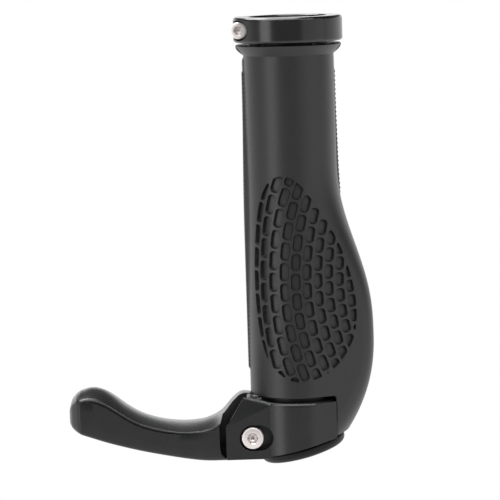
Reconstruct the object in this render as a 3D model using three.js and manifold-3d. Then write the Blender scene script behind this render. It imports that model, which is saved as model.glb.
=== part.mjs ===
// Lock-on handlebar grip with a palm wing and a bolted bar end.
//
// +Z runs along the handlebar towards the middle of the bicycle, -Y is the palm side, -X is the
// horn's side and +X the wing's side. The origin is on the bar's axis, where the bar's end stops
// against the plug. All sizes are in millimetres.

import * as THREE from 'three';
import { mergeVertices } from 'three/addons/utils/BufferGeometryUtils.js';
import Module from 'manifold-3d';

const wasm = await Module();
wasm.setup();

// Driving dimensions
const gripLength = 134.2;        // bar stop to the ring's inboard face
const barDiameter = 22.2;        // the handlebar
const seat = 0.3;                // clearance between pieces that sit on each other
const barFit = 0.1;              // slack of the sleeve on the bar, in diameter
const sleeveWall = 0.95;
const slotWidth = 3;             // squeeze slots in the sleeve's ends
const slotDepth = 9;
const slotCount = 4;
const sleeveSetBack = 0.6;       // sleeve's rim below the ring's face

const ringDiameter = 34.9;
const ringWidth = 8;
const ringChamfer = 0.6;
const ringSplit = 1.6;           // width of the ring's saw cut
const ringPocketRadius = 3.3;    // counterbore for the ring's screw
const ringTurn = 6;              // degrees that the ring is turned, its screw facing out a little

const ringScrew = { thread: 3, head: 5.5, headHeight: 3, key: 2.5, length: 9.6 };
const clampScrew = { thread: 4, head: 7, headHeight: 4, key: 3, length: 15 };
const screwSlack = 0.2;          // radial clearance round a screw's thread

const neckRadius = 14.45;        // rubber tube behind the flange
const heelRadius = 15.35;        // rubber tube above the clamp
const neckEnd = 92;              // the tube starts to thicken here
const flangeRadius = 16.9;
const flangeHeight = 4.2;
const flangeGap = 0.8;           // between the ring and the rubber's flange
const wingReach = 9.8;           // how far the palm wing stands out from the tube
const wingTop = 90.5;            // levels where the wing starts, is widest and ends
const wingWidest = 32;
const wingFoot = -1;
const wingFall = 2.3;            // roundness of the wing's lower outline
const wingTilt = 8;              // degrees that the wing leans towards the palm
const wingThinning = 0.93;       // loss of edge radius for each millimetre of reach
const padRadius = 15.75;         // finger pad at the back of the tube
const padTopRadius = 15.1;       // it thins out towards the flange
const padThinFrom = 60;
const padToFlange = 4.6;         // smooth neck between the pad and the flange
const padBottom = 20;
const padHornSide = 102;         // degrees from the back to the pad's edge on the horn's side
const padWingSide = 84;          // and on the wing's side
const padRim = 1.8;              // width of the pad's sloping edge
const levelStep = 7;             // spacing of the rubber's cross-sections

const pitDepth = 1.15;           // honeycomb pits in the palm panel
const pitWidth = 2.9;
const pitRib = 0.75;             // rib between two pits of a column
const pitColumnPitch = 3.7;
const pitRowAngle = 0.073;       // radians between two pits of a column
const fanRadius = 85;            // the columns bend round a point far out on the wing's side
const fanLevel = 53.7;
const panelFoot = 18.1;          // lower end of the palm panel
const panelLength = 66.1;
const panelHalfWidth = 18;
const panelMiddle = 2.4;         // its middle, off the palm side's centre line

const clampRadius = 15.6;
const clampTop = 11.1;
const clampEdge = 0.7;           // rounding of the clamp's rim
const clampWallAtWing = 1.8;     // clamp's wall where the rubber wraps over it
const notchTop = 12.6;           // rubber's lower edge over the clamp
const notchSide = 12;            // where the wing's rubber starts beside the clamp
const seamLevel = -4.2;          // clamp's lower face on the bar's axis
const seamTilt = 14.3;           // degrees, rising towards the wing
const earFront = -12.5;
const earLeft = -23.7;
const slitWidth = 2.1;
const slitFoot = 0.35;           // width left at the slit's lower end
const slitClosing = 4.5;         // height over which the slit closes there
const slitBack = -1;             // rear wall of the clamp's slit
const clampScrewX = -15.2;
const pocketRadius = 4.2;
const pocketRun = 2.4;           // the pocket is drawn out towards the clamp
const pocketDepth = 3.5;
const earHeight = 3.6;           // where the ear's side turns into its slanting shoulder
const earTopX = -17.6;
const earTopRise = 1.4;          // the ear's top corner stands above the clamp's rim
const earFoldX = -16;            // inner end of the fold across the ear's face
const earFoldZ = 8;
const earTopY = -11;             // the fold leans the ear's top back to here
const hornReach = 74.2;          // bar's axis to the horn's tip
const hornTop = 15.3;            // highest point, near the tip
const hornBottom = -7.3;         // level underside by the clamp
const hornDepth = 9.5;           // half of its depth at the tip

const capRadius = 14.4;
const capRim = 2.9;
const capEdge = 2.2;
const capDome = 0.8;
const skirtWall = 1.8;

// Sizes that follow from those
const sleeveBore = (barDiameter + barFit) / 2;
const sleeveRadius = sleeveBore + sleeveWall;
const boreRadius = sleeveRadius + seat;
const ringRadius = ringDiameter / 2;
const ringFoot = gripLength - ringWidth;
const flangeTop = ringFoot - flangeGap;
const flangeFoot = flangeTop - flangeHeight;
const padTop = flangeFoot - padToFlange;
const rad = THREE.MathUtils.degToRad;
const seamSlope = Math.tan(rad(seamTilt));
const seamNormal = new THREE.Vector3(-Math.sin(rad(seamTilt)), 0, Math.cos(rad(seamTilt)));
const farAway = 300;

// Solids
function toSolid(geometry) {
  const bare = geometry.clone();
  bare.deleteAttribute('normal');
  bare.deleteAttribute('uv');
  const merged = mergeVertices(bare, 1e-4);
  const vertProperties = new Float32Array(merged.attributes.position.array);
  const triVerts = new Uint32Array(merged.index.array);
  if (signedVolume(vertProperties, triVerts) < 0) {
    for (let i = 0; i < triVerts.length; i += 3) {
      [triVerts[i], triVerts[i + 1]] = [triVerts[i + 1], triVerts[i]];
    }
  }
  return new wasm.Manifold(new wasm.Mesh({ numProp: 3, vertProperties, triVerts }));
}

function signedVolume(positions, triangles) {
  const corner = (i) => new THREE.Vector3().fromArray(positions, 3 * triangles[i]);
  let volume = 0;
  for (let i = 0; i < triangles.length; i += 3) {
    volume += corner(i).dot(corner(i + 1).cross(corner(i + 2))) / 6;
  }
  return volume;
}

function toGeometry(solid) {
  const mesh = solid.getMesh();
  const geometry = new THREE.BufferGeometry();
  geometry.setAttribute('position', new THREE.BufferAttribute(new Float32Array(mesh.vertProperties), 3));
  geometry.setIndex(new THREE.BufferAttribute(new Uint32Array(mesh.triVerts), 1));
  geometry.computeVertexNormals();
  return geometry;
}

// Turned solid round the bar's axis, from closed [radius, level] points
function turned(profile, segments = 64) {
  const points = profile.map(([r, z]) => new THREE.Vector2(r, z));
  points.push(points[0].clone());
  return toSolid(new THREE.LatheGeometry(points, segments).rotateX(Math.PI / 2));
}

function cylinderZ(radius, z0, z1, segments = 48) {
  const geometry = new THREE.CylinderGeometry(radius, radius, z1 - z0, segments);
  return toSolid(geometry.rotateX(Math.PI / 2).translate(0, 0, (z0 + z1) / 2));
}

function cylinderY(radius, x, z, y0, y1, segments = 32) {
  const geometry = new THREE.CylinderGeometry(radius, radius, y1 - y0, segments);
  return toSolid(geometry.translate(x, (y0 + y1) / 2, z));
}

function box(x0, x1, y0, y1, z0, z1) {
  const geometry = new THREE.BoxGeometry(x1 - x0, y1 - y0, z1 - z0);
  return toSolid(geometry.translate((x0 + x1) / 2, (y0 + y1) / 2, (z0 + z1) / 2));
}

// Outline in X and Z, pushed from y0 to y1
function plateY(shape, y0, y1, curveSegments = 8) {
  const geometry = new THREE.ExtrudeGeometry(shape, { depth: y1 - y0, bevelEnabled: false, curveSegments });
  return toSolid(geometry.rotateX(Math.PI / 2).translate(0, y1, 0));
}

function polygon(points) {
  return new THREE.Shape(points.map(([x, z]) => new THREE.Vector2(x, z)));
}

// Everything on the side of a plane that the normal points to
function halfSpace(point, normal) {
  const geometry = new THREE.BoxGeometry(farAway, farAway, farAway).translate(0, 0, farAway / 2);
  const up = new THREE.Vector3(0, 0, 1);
  const turn = new THREE.Quaternion().setFromUnitVectors(up, normal.clone().normalize());
  return toSolid(geometry.applyQuaternion(turn).translate(point.x, point.y, point.z));
}

// Solid through a row of rings that have the same number of points
function loft(rings) {
  const count = rings[0].length;
  const positions = rings.flat().flatMap((p) => [p.x, p.y, p.z]);
  const triangles = [];
  for (let i = 0; i + 1 < rings.length; i += 1) {
    for (let j = 0; j < count; j += 1) {
      const a = i * count + j;
      const b = i * count + (j + 1) % count;
      triangles.push(a, b, b + count, a, b + count, a + count);
    }
  }
  for (const [ring, last] of [[0, false], [rings.length - 1, true]]) {
    const centre = new THREE.Vector3();
    rings[ring].forEach((p) => centre.addScaledVector(p, 1 / count));
    const hub = positions.length / 3;
    positions.push(centre.x, centre.y, centre.z);
    for (let j = 0; j < count; j += 1) {
      const a = ring * count + j;
      const b = ring * count + (j + 1) % count;
      triangles.push(...(last ? [hub, a, b] : [hub, b, a]));
    }
  }
  const geometry = new THREE.BufferGeometry();
  geometry.setAttribute('position', new THREE.Float32BufferAttribute(positions, 3));
  geometry.setIndex(triangles);
  return toSolid(geometry);
}

function smooth(from, to, value) {
  return THREE.MathUtils.smootherstep(value, from, to);
}

// Core sleeve
function coreSleeve() {
  const foot = seamLevel - seamSlope * sleeveRadius - seat;
  const rim = gripLength - sleeveSetBack;
  let sleeve = cylinderZ(sleeveRadius, foot, rim).subtract(cylinderZ(sleeveBore, foot - 1, rim + 1));
  const slotFoot = seamLevel + slotDepth;
  for (let i = 0; i < slotCount; i += 1) {
    const slot = new THREE.BoxGeometry(sleeveRadius * 2, slotWidth, slotDepth * 2);
    slot.translate(sleeveRadius, 0, 0).rotateZ(Math.PI * (2 * i + 1) / slotCount);
    sleeve = sleeve.subtract(toSolid(slot.clone().translate(0, 0, rim)));
    sleeve = sleeve.subtract(toSolid(slot.clone().translate(0, 0, slotFoot - slotDepth)));
  }
  return sleeve.subtract(halfSpace(new THREE.Vector3(0, 0, seamLevel), seamNormal.clone().negate()));
}

// Socket head screw along Y, its head towards -Y and seated at the given level
function socketScrew(screw, x, seatY, z) {
  const shankRadius = screw.thread / 2;
  const headRadius = screw.head / 2;
  const chamfer = screw.head * 0.06;
  const points = [
    [0, 0], [shankRadius, 0], [shankRadius, screw.length], [headRadius, screw.length],
    [headRadius, screw.length + screw.headHeight - chamfer],
    [headRadius - chamfer, screw.length + screw.headHeight], [0, screw.length + screw.headHeight],
  ].map(([r, h]) => new THREE.Vector2(r, h));
  const top = screw.length + screw.headHeight;
  const keyDepth = screw.headHeight * 0.5;
  const keyRadius = screw.key / Math.sqrt(3);
  const key = new THREE.CylinderGeometry(keyRadius, keyRadius, keyDepth * 2, 6).translate(0, top, 0);
  const drillPoint = new THREE.CylinderGeometry(screw.key * 0.49, 0, keyDepth * 0.6, 12);
  drillPoint.translate(0, top - keyDepth * 1.3 + 0.01, 0);
  const body = toSolid(new THREE.LatheGeometry(points, 24));
  const bolt = body.subtract(toSolid(key)).subtract(toSolid(drillPoint));
  return toGeometry(bolt).translate(0, -screw.length, 0).rotateX(Math.PI).translate(x, seatY, z);
}

// Lock ring
const ringScrewX = -(boreRadius + ringRadius) / 2;
const ringScrewZ = ringFoot + ringWidth / 2;
const ringSeatY = -5.2;

function lockRing() {
  const bore = boreRadius;
  const cut = ringChamfer;
  const body = turned([
    [bore, ringFoot + cut / 2], [bore + cut / 2, ringFoot], [ringRadius - cut, ringFoot],
    [ringRadius, ringFoot + cut], [ringRadius, gripLength - cut], [ringRadius - cut, gripLength],
    [bore + cut / 2, gripLength], [bore, gripLength - cut / 2],
  ], 56);
  const split = box(-2 * ringRadius, 0, -ringSplit / 2, ringSplit / 2, ringFoot - 1, gripLength + 1);
  const holeRadius = ringScrew.thread / 2 + screwSlack / 2;
  const holeEnd = ringSeatY + ringScrew.length + seat;
  const hole = cylinderY(holeRadius, ringScrewX, ringScrewZ, ringSeatY - 1, holeEnd, 24);
  const pocket = cylinderY(ringPocketRadius, ringScrewX, ringScrewZ, -ringRadius, ringSeatY);
  return body.subtract(split).subtract(hole).subtract(pocket);
}

// Rubber grip: its section is a disc round the bar, swept out into a small disc at the wing's edge
const wingDirection = rad(90 - wingTilt);
const flankAngle = Math.acos(wingThinning / (1 + wingThinning));

function tubeRadius(z) {
  return heelRadius + (neckRadius - heelRadius) * smooth(notchTop, neckEnd, z);
}

function reachAt(z) {
  if (z > wingWidest) {
    return wingReach * (1 - smooth(wingWidest, wingTop, z));
  }
  const fall = Math.min((wingWidest - z) / (wingWidest - wingFoot), 1);
  return wingReach * (1 - fall ** wingFall);
}

function awayFrom(angle, centre) {
  return Math.abs(Math.atan2(Math.sin(angle - centre), Math.cos(angle - centre)));
}

// Angle 0 is the palm side, a quarter turn is the wing
function sectionRadius(angle, z) {
  const tube = tubeRadius(z);
  const reach = Math.max(reachAt(z), 1e-4);
  const centre = reach * (1 + wingThinning);
  const edge = tube - reach * wingThinning;
  const off = awayFrom(angle, wingDirection);
  if (off >= flankAngle) {
    return tube;
  }
  const edgeStart = Math.atan2(edge * Math.sin(flankAngle), centre + edge * Math.cos(flankAngle));
  if (off > edgeStart) {
    return tube / Math.cos(flankAngle - off);
  }
  return centre * Math.cos(off) + Math.sqrt(edge ** 2 - (centre * Math.sin(off)) ** 2);
}

// The finger pad covers the back up to both sides, but not the wing
function padHeight(angle, z) {
  const rimAngle = padRim / neckRadius;
  const along = smooth(padBottom, padBottom + padRim, z) * (1 - smooth(padTop - padRim, padTop, z));
  const half = rad(Math.sin(angle) < 0 ? padHornSide : padWingSide);
  const round = 1 - smooth(half - rimAngle, half, awayFrom(angle, Math.PI));
  const clearOfWing = smooth(flankAngle, flankAngle + 2 * rimAngle, awayFrom(angle, wingDirection));
  const wingHere = Math.min(reachAt(z) / 2, 1);
  const outer = padRadius + (padTopRadius - padRadius) * smooth(padThinFrom, padTop, z);
  return (outer - tubeRadius(z)) * along * round * (1 - wingHere * (1 - clearOfWing));
}

function gripRadius(angle, z) {
  return sectionRadius(angle, z) + padHeight(angle, z);
}

function gripPoint(angle, z, lift = 0) {
  const r = gripRadius(angle, z) + lift;
  return new THREE.Vector3(r * Math.sin(angle), -r * Math.cos(angle), z);
}

// Angle that lies a given length round the section from the palm side's middle
function angleAtLength(length, z) {
  const steps = 48;
  const step = Math.sign(length) * 1.5 / steps;
  let travelled = 0;
  let before = gripPoint(0, z);
  for (let i = 1; i <= steps; i += 1) {
    const here = gripPoint(i * step, z);
    const run = here.distanceTo(before);
    if (travelled + run >= Math.abs(length)) {
      return (i - 1 + (Math.abs(length) - travelled) / run) * step;
    }
    travelled += run;
    before = here;
  }
  return steps * step;
}

const gripColumns = 48;

function gripLevels() {
  const edges = [notchTop, padBottom, padBottom + padRim, padTop - padRim, padTop, flangeFoot];
  const levels = [];
  for (let z = seamLevel - seamSlope * clampRadius; z < flangeFoot; z += levelStep) {
    if (edges.every((edge) => Math.abs(edge - z) > levelStep / 3)) {
      levels.push(z);
    }
  }
  return levels.concat(edges).sort((a, b) => a - b);
}

function gripRing(z, radiusAt) {
  return Array.from({ length: gripColumns }, (_, j) => {
    const angle = -2 * Math.PI * j / gripColumns;
    const r = radiusAt(angle);
    return new THREE.Vector3(r * Math.sin(angle), -r * Math.cos(angle), z);
  }).reverse();
}

// The flange flares as a cone on the palm side and as a fuller bead round the back
function gripOutside() {
  const rings = gripLevels().map((z) => gripRing(z, (angle) => gripRadius(angle, z)));
  for (const rise of [0.25, 0.5, 0.75, 0.92, 1]) {
    const cone = Math.min(rise / 0.92, 1.92 - rise);
    const bead = Math.sin(Math.PI / 2 * Math.min(1.15 * rise, 1));
    rings.push(gripRing(flangeFoot + flangeHeight * rise, (angle) => {
      const spread = Math.abs(awayFrom(angle, Math.PI)) < rad(padHornSide) ? Math.max(cone, bead) : cone;
      return neckRadius + (flangeRadius - neckRadius) * spread;
    }));
  }
  return loft(rings);
}

// Outline of the palm panel: shares of its half width and of its length
const panelOutline = [
  [-0.33, 1], [-0.08, 0.973], [0.14, 0.906], [0.42, 0.797], [0.66, 0.685], [0.82, 0.581], [0.94, 0.467],
  [1, 0.346], [0.97, 0.233], [0.83, 0.144], [0.58, 0.065], [0.27, 0.018], [-0.11, 0], [-0.41, 0.029],
  [-0.7, 0.107], [-0.88, 0.233], [-0.98, 0.392], [-1, 0.558], [-0.93, 0.74], [-0.8, 0.876], [-0.59, 0.97],
];

function stadium(s, z, lean, length, width) {
  const shape = new THREE.Shape();
  const r = width / 2;
  const straight = length / 2 - r;
  shape.absarc(0, straight, r, 0, Math.PI);
  shape.absarc(0, -straight, r, Math.PI, 2 * Math.PI);
  const flat = shape.getPoints(3).map((p) => p.rotateAround(new THREE.Vector2(), -lean));
  return new THREE.Shape(flat.map((p) => p.add(new THREE.Vector2(s, z))));
}

function flatPrism(shape) {
  const depth = 2 * pitDepth;
  const geometry = new THREE.ExtrudeGeometry(shape, { depth, bevelEnabled: false });
  return toSolid(geometry.translate(0, 0, -pitDepth));
}

// The pits are laid out flat, trimmed by the panel's outline and then bent round the rubber
function honeycomb() {
  const corners = panelOutline.map(([across, up]) => {
    return new THREE.Vector3(panelMiddle + panelHalfWidth * across, panelFoot + panelLength * up, 0);
  });
  const curve = new THREE.CatmullRomCurve3(corners, true);
  const outline = curve.getPoints(52).slice(0, -1).map((p) => new THREE.Vector2(p.x, p.y));
  const reach = new THREE.Box2().setFromPoints(outline);
  const cells = [];
  for (let column = -4; column <= 5; column += 1) {
    const radius = fanRadius - pitColumnPitch * column;
    const stagger = column % 2 === 0 ? 0.5 : 0;
    for (let row = -8; row <= 8; row += 1) {
      const turn = (row + stagger) * pitRowAngle;
      const s = fanRadius - radius * Math.cos(turn);
      const z = fanLevel + radius * Math.sin(turn);
      const length = radius * pitRowAngle - pitRib;
      if (z > reach.min.y - length / 2 && z < reach.max.y + length / 2) {
        cells.push(stadium(s, z, turn, length, pitWidth));
      }
    }
  }
  const flat = cells.map(flatPrism).reduce((all, cell) => all.add(cell));
  const bent = toGeometry(flat.intersect(flatPrism(new THREE.Shape(outline))));
  const position = bent.attributes.position;
  for (let i = 0; i < position.count; i += 1) {
    const z = position.getY(i);
    const angle = angleAtLength(position.getX(i), z);
    const point = gripPoint(angle, z, position.getZ(i));
    position.setXYZ(i, point.x, point.y, point.z);
  }
  return toSolid(bent);
}

function rubberGrip() {
  const bore = cylinderZ(boreRadius, -farAway, farAway);
  const clampRoom = cylinderZ(boreRadius + clampWallAtWing + seat, -farAway, notchTop);
  const notch = box(-farAway, notchSide, -farAway, farAway, -farAway, notchTop);
  const seamPoint = new THREE.Vector3(0, 0, seamLevel + seat);
  return gripOutside()
    .subtract(bore)
    .subtract(clampRoom)
    .subtract(notch)
    .subtract(halfSpace(seamPoint, seamNormal.clone().negate()))
    .subtract(honeycomb());
}

// Bar end: stations along the horn, as shares of its reach, top, bottom and depth. Each gives the
// top, the crease above the flat face, the bottom and half the depth.
const hornStations = [
  [1, 0.63, 0.57, -0.63, 0.36], [0.989, 0.8, 0.69, -0.51, 0.65], [0.97, 0.9, 0.77, -0.38, 0.84],
  [0.943, 0.96, 0.82, -0.26, 0.96], [0.903, 1, 0.84, -0.1, 1], [0.856, 0.97, 0.78, 0.07, 1],
  [0.809, 0.85, 0.65, 0.22, 1], [0.741, 0.6, 0.43, 0.41, 1.01], [0.674, 0.41, 0.275, 0.575, 1.03],
  [0.593, 0.275, 0.17, 0.74, 1.07], [0.512, 0.21, 0.12, 0.88, 1.13], [0.445, 0.23, 0.12, 0.97, 1.17],
  [0.395, 0.29, 0.155, 1, 1.22], [0.337, 0.385, 0.33, 1, 1.24], [0.283, 0.57, 0.53, 1, 1.24],
  [0.229, 0.86, 0.71, 1, 1.22], [0.162, 0.89, 0.72, 1, 1.01],
].map(([along, top, crease, bottom, depth]) => ({
  x: -hornReach * along,
  top: hornTop * top,
  crease: hornTop * crease,
  bottom: hornBottom * bottom,
  depth: hornDepth * depth,
}));

function hornRing({ x, top, crease, bottom, depth }) {
  const foot = Math.min(1.6, (crease - bottom) / 2, depth / 2);
  const steps = 4;
  const half = [];
  for (let i = 0; i <= steps; i += 1) {
    const turn = Math.PI / 2 * i / steps;
    half.push([depth - foot * (1 - Math.sin(turn)), bottom + foot * (1 - Math.cos(turn))]);
  }
  for (let i = 0; i <= 6; i += 1) {
    const turn = Math.PI / 2 * i / 6;
    half.push([depth * Math.cos(turn) ** 0.8, crease + (top - crease) * Math.sin(turn)]);
  }
  const front = half.map(([y, z]) => new THREE.Vector3(x, -y, z));
  const back = half.slice(0, -1).reverse().map(([y, z]) => new THREE.Vector3(x, y, z));
  return front.concat(back);
}

function horn() {
  const inFront = polygon([...slitOuterEdge, [0, farAway], [0, -farAway]]);
  return loft(hornStations.map(hornRing)).subtract(plateY(inFront, -farAway, slitBack));
}

const earShoulder = [earLeft, earHeight];
const earTopCorner = [earTopX, clampTop + earTopRise];
const earMeetsClamp = -Math.sqrt(clampRadius ** 2 - earFront ** 2);

// The horn's side of the slit follows the ear and closes up round its lower corner
const slitOuterEdge = [
  [earLeft - slitFoot, -farAway], [earLeft - slitFoot, hornBottom + 0.11 * slitClosing],
  [earLeft - 0.8 * slitWidth, hornBottom + 0.44 * slitClosing], [earLeft - slitWidth, hornBottom + slitClosing],
  [earLeft - slitWidth, earShoulder[1] + slitWidth / 3],
  [earTopX - slitWidth, earTopCorner[1] + slitWidth / 2], [earTopX, hornTop], [earTopX, farAway],
];

function ear() {
  const outline = polygon([
    [earLeft, hornBottom], [0, hornBottom], [0, clampTop], [earMeetsClamp, clampTop],
    earTopCorner, earShoulder,
  ]);
  const block = plateY(outline, earFront, slitBack - slitWidth);
  const foldStart = new THREE.Vector3(earLeft, earFront, earHeight + 0.4);
  const foldEnd = new THREE.Vector3(earFoldX, earFront, earFoldZ);
  const peak = new THREE.Vector3(earTopX, earTopY, earTopCorner[1]);
  const normal = foldEnd.clone().sub(foldStart).cross(peak.clone().sub(foldStart));
  normal.multiplyScalar(-Math.sign(normal.y));
  return block.subtract(halfSpace(foldStart, normal));
}

function clampBody() {
  const edge = clampEdge;
  const rim = [0, 1, 2, 3].map((i) => {
    const turn = Math.PI / 2 * i / 3;
    return [clampRadius - edge * (1 - Math.cos(turn)), clampTop - edge * (1 - Math.sin(turn))];
  });
  const foot = 2 * hornBottom;
  const outside = turned([[0.001, foot], [clampRadius, foot], ...rim, [0.001, clampTop]], 64);
  const sideRoom = box(notchSide - seat, farAway, -farAway, farAway, -farAway, farAway);
  const wall = cylinderZ(boreRadius + clampWallAtWing, -farAway, farAway);
  return outside.subtract(sideRoom.subtract(wall));
}

function barEnd() {
  const slitShape = polygon([...slitOuterEdge, [-boreRadius / 2, farAway], [-boreRadius / 2, -farAway]]);
  const slit = plateY(slitShape, slitBack - slitWidth, slitBack);
  const bore = cylinderZ(boreRadius, -farAway, farAway);
  const rubberRoom = cylinderZ(heelRadius + 1.3 * seat, clampTop + seat / 3, farAway);
  const holeRadius = clampScrew.thread / 2 + screwSlack;
  const seatY = earFront + pocketDepth;
  const hole = cylinderY(holeRadius, clampScrewX, 0, seatY - 1, seatY + clampScrew.length + seat, 24);
  const pocketShape = new THREE.Shape();
  pocketShape.absarc(clampScrewX + pocketRun, 0, pocketRadius, -Math.PI / 2, Math.PI / 2);
  pocketShape.absarc(clampScrewX, 0, pocketRadius, Math.PI / 2, 3 * Math.PI / 2);
  const pocket = plateY(pocketShape, -farAway, seatY);
  const seamPoint = new THREE.Vector3(0, 0, seamLevel);
  const footHeight = seamLevel - hornBottom;
  const belowSeam = halfSpace(seamPoint, seamNormal.clone().negate())
    .subtract(box(-farAway, -footHeight / seamSlope, -farAway, farAway, hornBottom, farAway));
  return horn().add(ear()).add(clampBody())
    .subtract(bore)
    .subtract(slit)
    .subtract(rubberRoom)
    .subtract(hole)
    .subtract(pocket)
    .subtract(belowSeam);
}

// End cap: a domed disc on the slanted seam, with a skirt that stands in the sleeve along the bar
function endCap() {
  const rim = [0, 1, 2, 3, 4].map((i) => {
    const turn = Math.PI / 2 * i / 4;
    return [capRadius - capEdge * (1 - Math.cos(turn)), -capRim + capEdge * (1 - Math.sin(turn))];
  });
  const dome = [0.6, 0.3].map((share) => {
    return [capRadius * share, -capRim - capDome * (1 - share ** 2)];
  });
  const disc = new THREE.LatheGeometry([
    [0, 0], [capRadius, 0], ...rim, ...dome, [0, -capRim - capDome],
  ].map(([r, z]) => new THREE.Vector2(r, z)), 48).rotateX(Math.PI / 2);
  disc.rotateY(-rad(seamTilt)).translate(0, 0, seamLevel - seat / Math.cos(rad(seamTilt)));
  const skirtRadius = sleeveBore - seat;
  const hollow = cylinderZ(skirtRadius - skirtWall, -farAway, farAway);
  const skirt = cylinderZ(skirtRadius, -farAway, 0).subtract(hollow);
  const discMiddle = new THREE.Vector3(0, 0, seamLevel - capRim / 2);
  return skirt.subtract(halfSpace(discMiddle, seamNormal.clone().negate())).add(toSolid(disc));
}

// Finishes
const finishes = {
  rubber: new THREE.MeshStandardMaterial({ color: 0x3a3a3b, roughness: 0.72, metalness: 0 }),
  anodised: new THREE.MeshStandardMaterial({ color: 0x1f2022, roughness: 0.32, metalness: 0.6 }),
  painted: new THREE.MeshStandardMaterial({ color: 0x2a2b2d, roughness: 0.42, metalness: 0.3 }),
  nylon: new THREE.MeshStandardMaterial({ color: 0x151516, roughness: 0.55, metalness: 0 }),
  plastic: new THREE.MeshStandardMaterial({ color: 0x242526, roughness: 0.4, metalness: 0 }),
  steel: new THREE.MeshStandardMaterial({ color: 0xcfc8c4, roughness: 0.28, metalness: 1 }),
};

const ringFacing = -rad(ringTurn);
const turnedRing = toGeometry(lockRing()).rotateZ(ringFacing);
const turnedRingScrew = socketScrew(ringScrew, ringScrewX, ringSeatY, ringScrewZ).rotateZ(ringFacing);

const pieces = [
  ['lock_ring', turnedRing, finishes.anodised],
  ['lock_ring_screw', turnedRingScrew, finishes.steel],
  ['core_sleeve', toGeometry(coreSleeve()), finishes.nylon],
  ['rubber_grip', toGeometry(rubberGrip()), finishes.rubber],
  ['bar_end', toGeometry(barEnd()), finishes.painted],
  ['bar_end_screw', socketScrew(clampScrew, clampScrewX, earFront + pocketDepth, 0), finishes.steel],
  ['end_cap', toGeometry(endCap()), finishes.plastic],
];

const grip = new THREE.Group();
for (const [name, geometry, material] of pieces) {
  const mesh = new THREE.Mesh(geometry, material);
  mesh.name = name;
  grip.add(mesh);
}

export default grip;
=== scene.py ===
# %% [markdown]
# A lock-on handlebar grip: a rubber sleeve with a palm wing, a clamp ring at the inboard end and a
# bolted metal horn at the outboard end. The working sizes come from a fixed frame, which this
# script loads first. Every piece is then modelled again at a finer grain and stands exactly where
# its plain solid stands.

# %% Load the frame
import math

import bmesh
import bpy
import numpy as np
from mathutils import Matrix, Vector


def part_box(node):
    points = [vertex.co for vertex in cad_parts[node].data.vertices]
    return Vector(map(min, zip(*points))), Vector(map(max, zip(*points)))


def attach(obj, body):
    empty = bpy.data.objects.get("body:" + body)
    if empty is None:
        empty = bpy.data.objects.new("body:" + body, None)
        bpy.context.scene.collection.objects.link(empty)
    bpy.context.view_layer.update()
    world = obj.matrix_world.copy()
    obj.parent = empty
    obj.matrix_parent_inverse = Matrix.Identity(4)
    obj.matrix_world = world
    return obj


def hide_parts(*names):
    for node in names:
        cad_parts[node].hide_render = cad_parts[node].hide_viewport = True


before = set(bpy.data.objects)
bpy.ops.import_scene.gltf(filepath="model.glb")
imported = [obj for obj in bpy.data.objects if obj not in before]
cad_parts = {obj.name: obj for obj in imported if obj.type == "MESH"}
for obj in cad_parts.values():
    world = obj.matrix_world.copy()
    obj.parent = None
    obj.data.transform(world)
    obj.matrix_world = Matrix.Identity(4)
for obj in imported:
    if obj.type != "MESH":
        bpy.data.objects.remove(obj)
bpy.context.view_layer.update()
print("frame:", sorted(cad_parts))

# %% [markdown]
# Lengths below are written in millimetres, as a maker would write them, and a finished mesh is
# scaled to metres in one place. Sizes that a plain solid already fixes are read from the frame, so
# that the visible pieces follow it. The bar's axis is Z, the palm is at -Y, the horn points to -X
# and the palm wing to +X.

# %% Sizes from the frame
MM = 0.001


def node_box(name):
    """Lowest and highest corner of a plain solid, in millimetres."""
    low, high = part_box(name)
    return Vector(low) / MM, Vector(high) / MM


RING_LOW, RING_HIGH = node_box("lock_ring")
SLEEVE_LOW, SLEEVE_HIGH = node_box("core_sleeve")
GRIP_LOW, GRIP_HIGH = node_box("rubber_grip")
CLAMP_SCREW_LOW, CLAMP_SCREW_HIGH = node_box("bar_end_screw")
HORN_REACH = -node_box("bar_end")[0].x
RING_RADIUS = max(RING_HIGH.x, RING_HIGH.y)
SLEEVE_RADIUS = SLEEVE_HIGH.x
SEAT = 0.3
BORE_RADIUS = SLEEVE_RADIUS + SEAT
SLEEVE_WALL = 0.95
OVERLAP = 0.02
FAR = 200.0
print("ring from", round(RING_LOW.z, 2), "to", round(RING_HIGH.z, 2), "mm")

# %% [markdown]
# The photograph was taken with a long lens from a little above the grip's middle, and the grip
# leans very slightly to the left in it. A camera that looks at one point from a known distance,
# rolled by that lean, gives the same framing.

# %% Camera
VIEW_TARGET = Vector((-14.2, 0, 59.3)) * MM
VIEW_DISTANCE = 830 * MM
VIEW_ELEVATION = math.radians(7.3)
VIEW_ROLL = math.radians(1.8)
FOCAL_PIXELS = 2573
FRAME_PIXELS = 500
SENSOR_WIDTH = 36

camera_data = bpy.data.cameras.new("camera")
camera_data.sensor_width = SENSOR_WIDTH
camera_data.lens = FOCAL_PIXELS / FRAME_PIXELS * SENSOR_WIDTH
camera_data.clip_end = 200
camera = bpy.data.objects.new("camera", camera_data)
back = Vector((0, -math.cos(VIEW_ELEVATION), math.sin(VIEW_ELEVATION)))
turn = (-back).to_track_quat("-Z", "Y").to_matrix() @ Matrix.Rotation(-VIEW_ROLL, 3, "Z")
camera.matrix_world = Matrix.Translation(VIEW_TARGET + back * VIEW_DISTANCE) @ turn.to_4x4()
bpy.context.scene.collection.objects.link(camera)
bpy.context.scene.camera = camera
print("lens", round(camera_data.lens, 1), "mm")

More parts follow.
